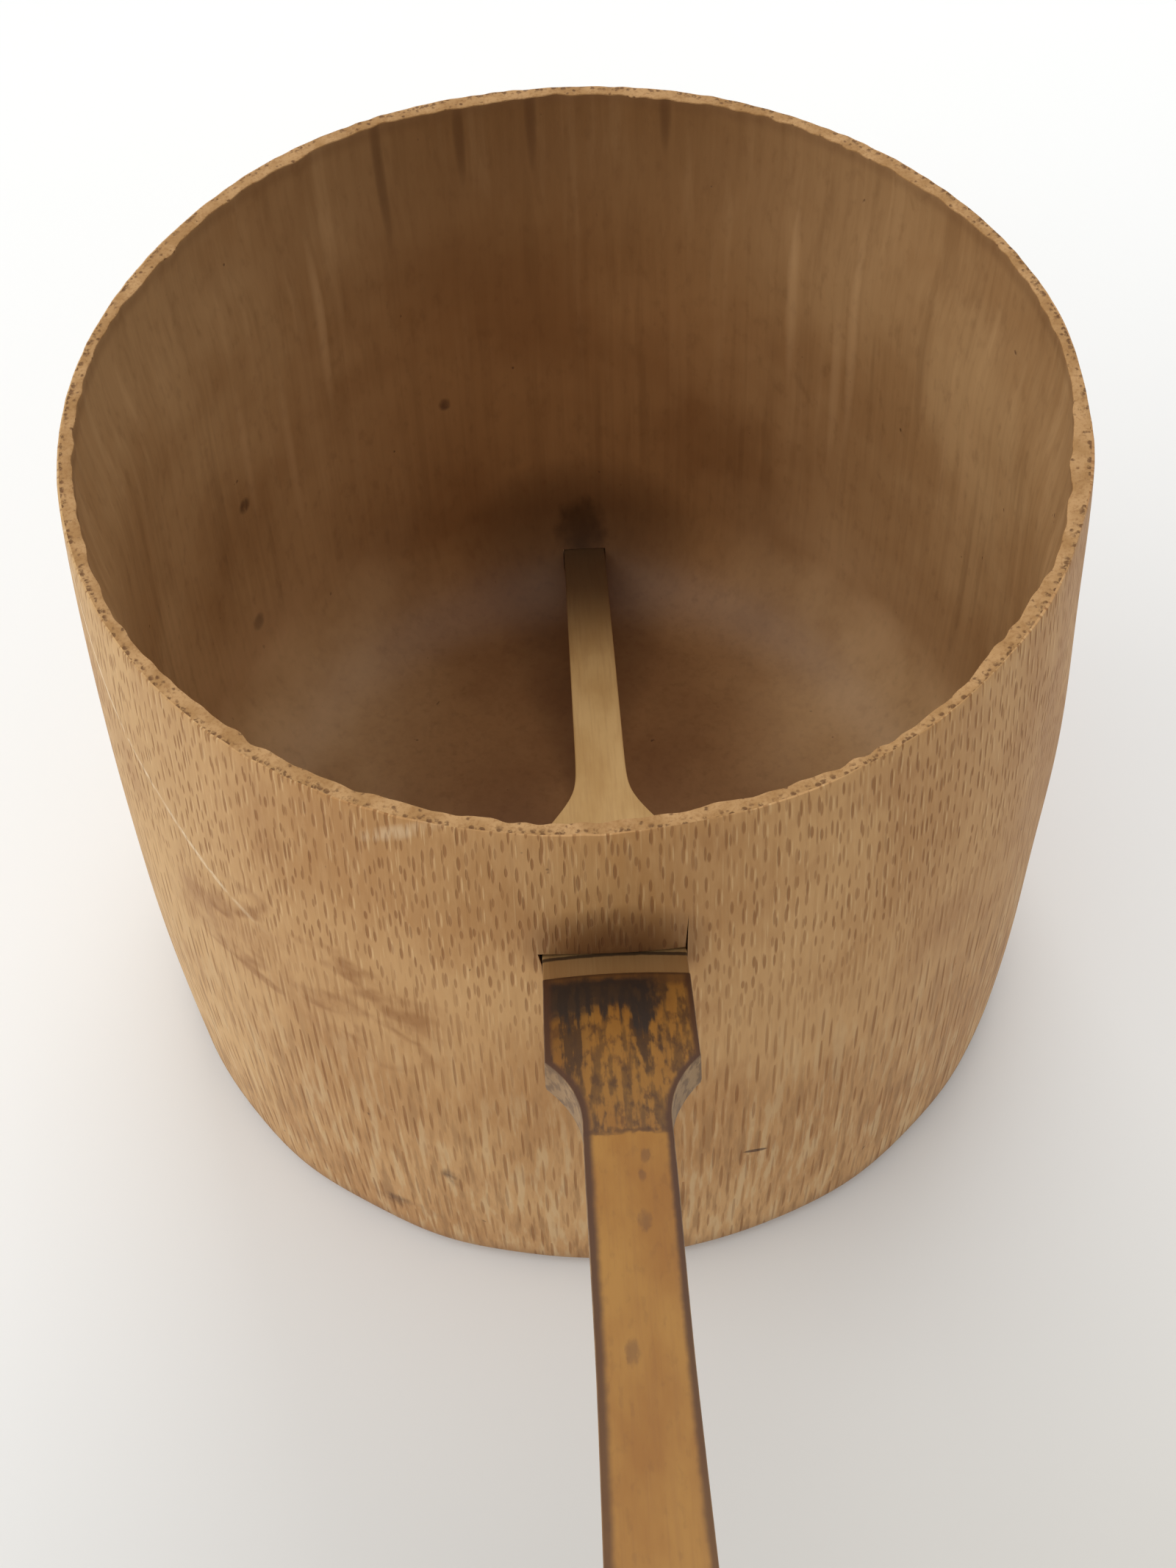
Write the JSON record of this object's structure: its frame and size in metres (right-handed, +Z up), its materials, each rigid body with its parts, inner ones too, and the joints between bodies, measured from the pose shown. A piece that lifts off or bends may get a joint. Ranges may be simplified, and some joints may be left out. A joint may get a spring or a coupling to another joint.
{
  "type": "bamboo ladle",
  "caption": "Bamboo water ladle: a round cup made of one culm section, pierced on a slope by a long flat split-bamboo handle.",
  "frame": {"origin": "centre of the cup's foot, on the surface it stands on", "axes": "+Z up along the cup; the handle leaves the cup towards -Y and rises; X runs across the handle"},
  "size_m": [0.0618, 0.3172, 0.1811],
  "materials": {
    "cup_bamboo": "matt scraped bamboo, dark satin inside",
    "handle_bamboo": "natural bamboo skin, low gloss"
  },
  "bodies": {
    "root": {"cup": "cup_bamboo", "handle": "handle_bamboo"}
  },
  "joints": []
}
